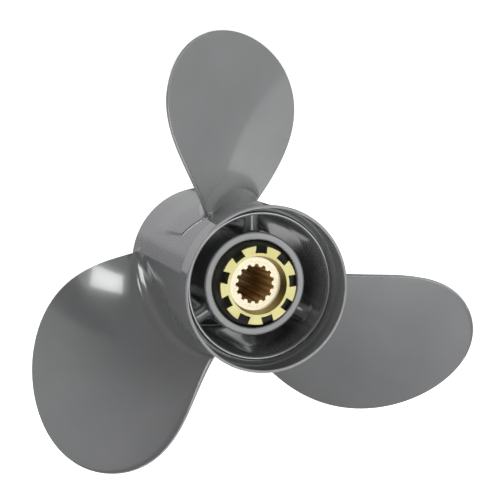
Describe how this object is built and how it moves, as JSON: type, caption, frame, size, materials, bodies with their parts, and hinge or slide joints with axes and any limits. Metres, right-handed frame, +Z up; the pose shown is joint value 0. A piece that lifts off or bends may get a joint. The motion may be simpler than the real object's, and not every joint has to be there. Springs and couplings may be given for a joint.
{
  "type": "boat propeller",
  "caption": "Right-hand outboard boat propeller with broad cupped blades, a flared through-hub exhaust barrel and a splined brass drive sleeve held in a rubber bush.",
  "frame": {"origin": "on the shaft axis at the forward end of the drive sleeve, where the sleeve's pilot bore opens and the thrust seat bears", "axes": "+Y along the shaft axis, forward towards the boat, so the exhaust end faces -Y; +Z up through the first blade"},
  "size_m": [0.2978, 0.152, 0.2825],
  "materials": {
    "grey_paint": "gloss",
    "bush_rubber": "satin",
    "brass": "satin"
  },
  "bodies": {
    "drive": {"spline_sleeve": "brass", "lug_ring": "brass"},
    "bush": {"rubber_bush": "bush_rubber"},
    "casting": {"barrel": "grey_paint", "flare_ring": "grey_paint", "core_tube": "grey_paint", "rib_1": "grey_paint", "rib_2": "grey_paint", "rib_3": "grey_paint", "blade_1": "grey_paint", "blade_2": "grey_paint", "blade_3": "grey_paint"}
  },
  "joints": [
    {"name": "hub_windup", "type": "hinge", "parent": "drive", "child": "bush", "pos_m": [0, -0.06, 0], "axis": [0, 1, 0], "range_deg": [-8, 8], "stiffness_Nm_per_rad": 1150},
    {"name": "bush_slip", "type": "hinge", "parent": "bush", "child": "casting", "pos_m": [0, -0.06, 0], "axis": [0, 1, 0], "continuous": true}
  ]
}
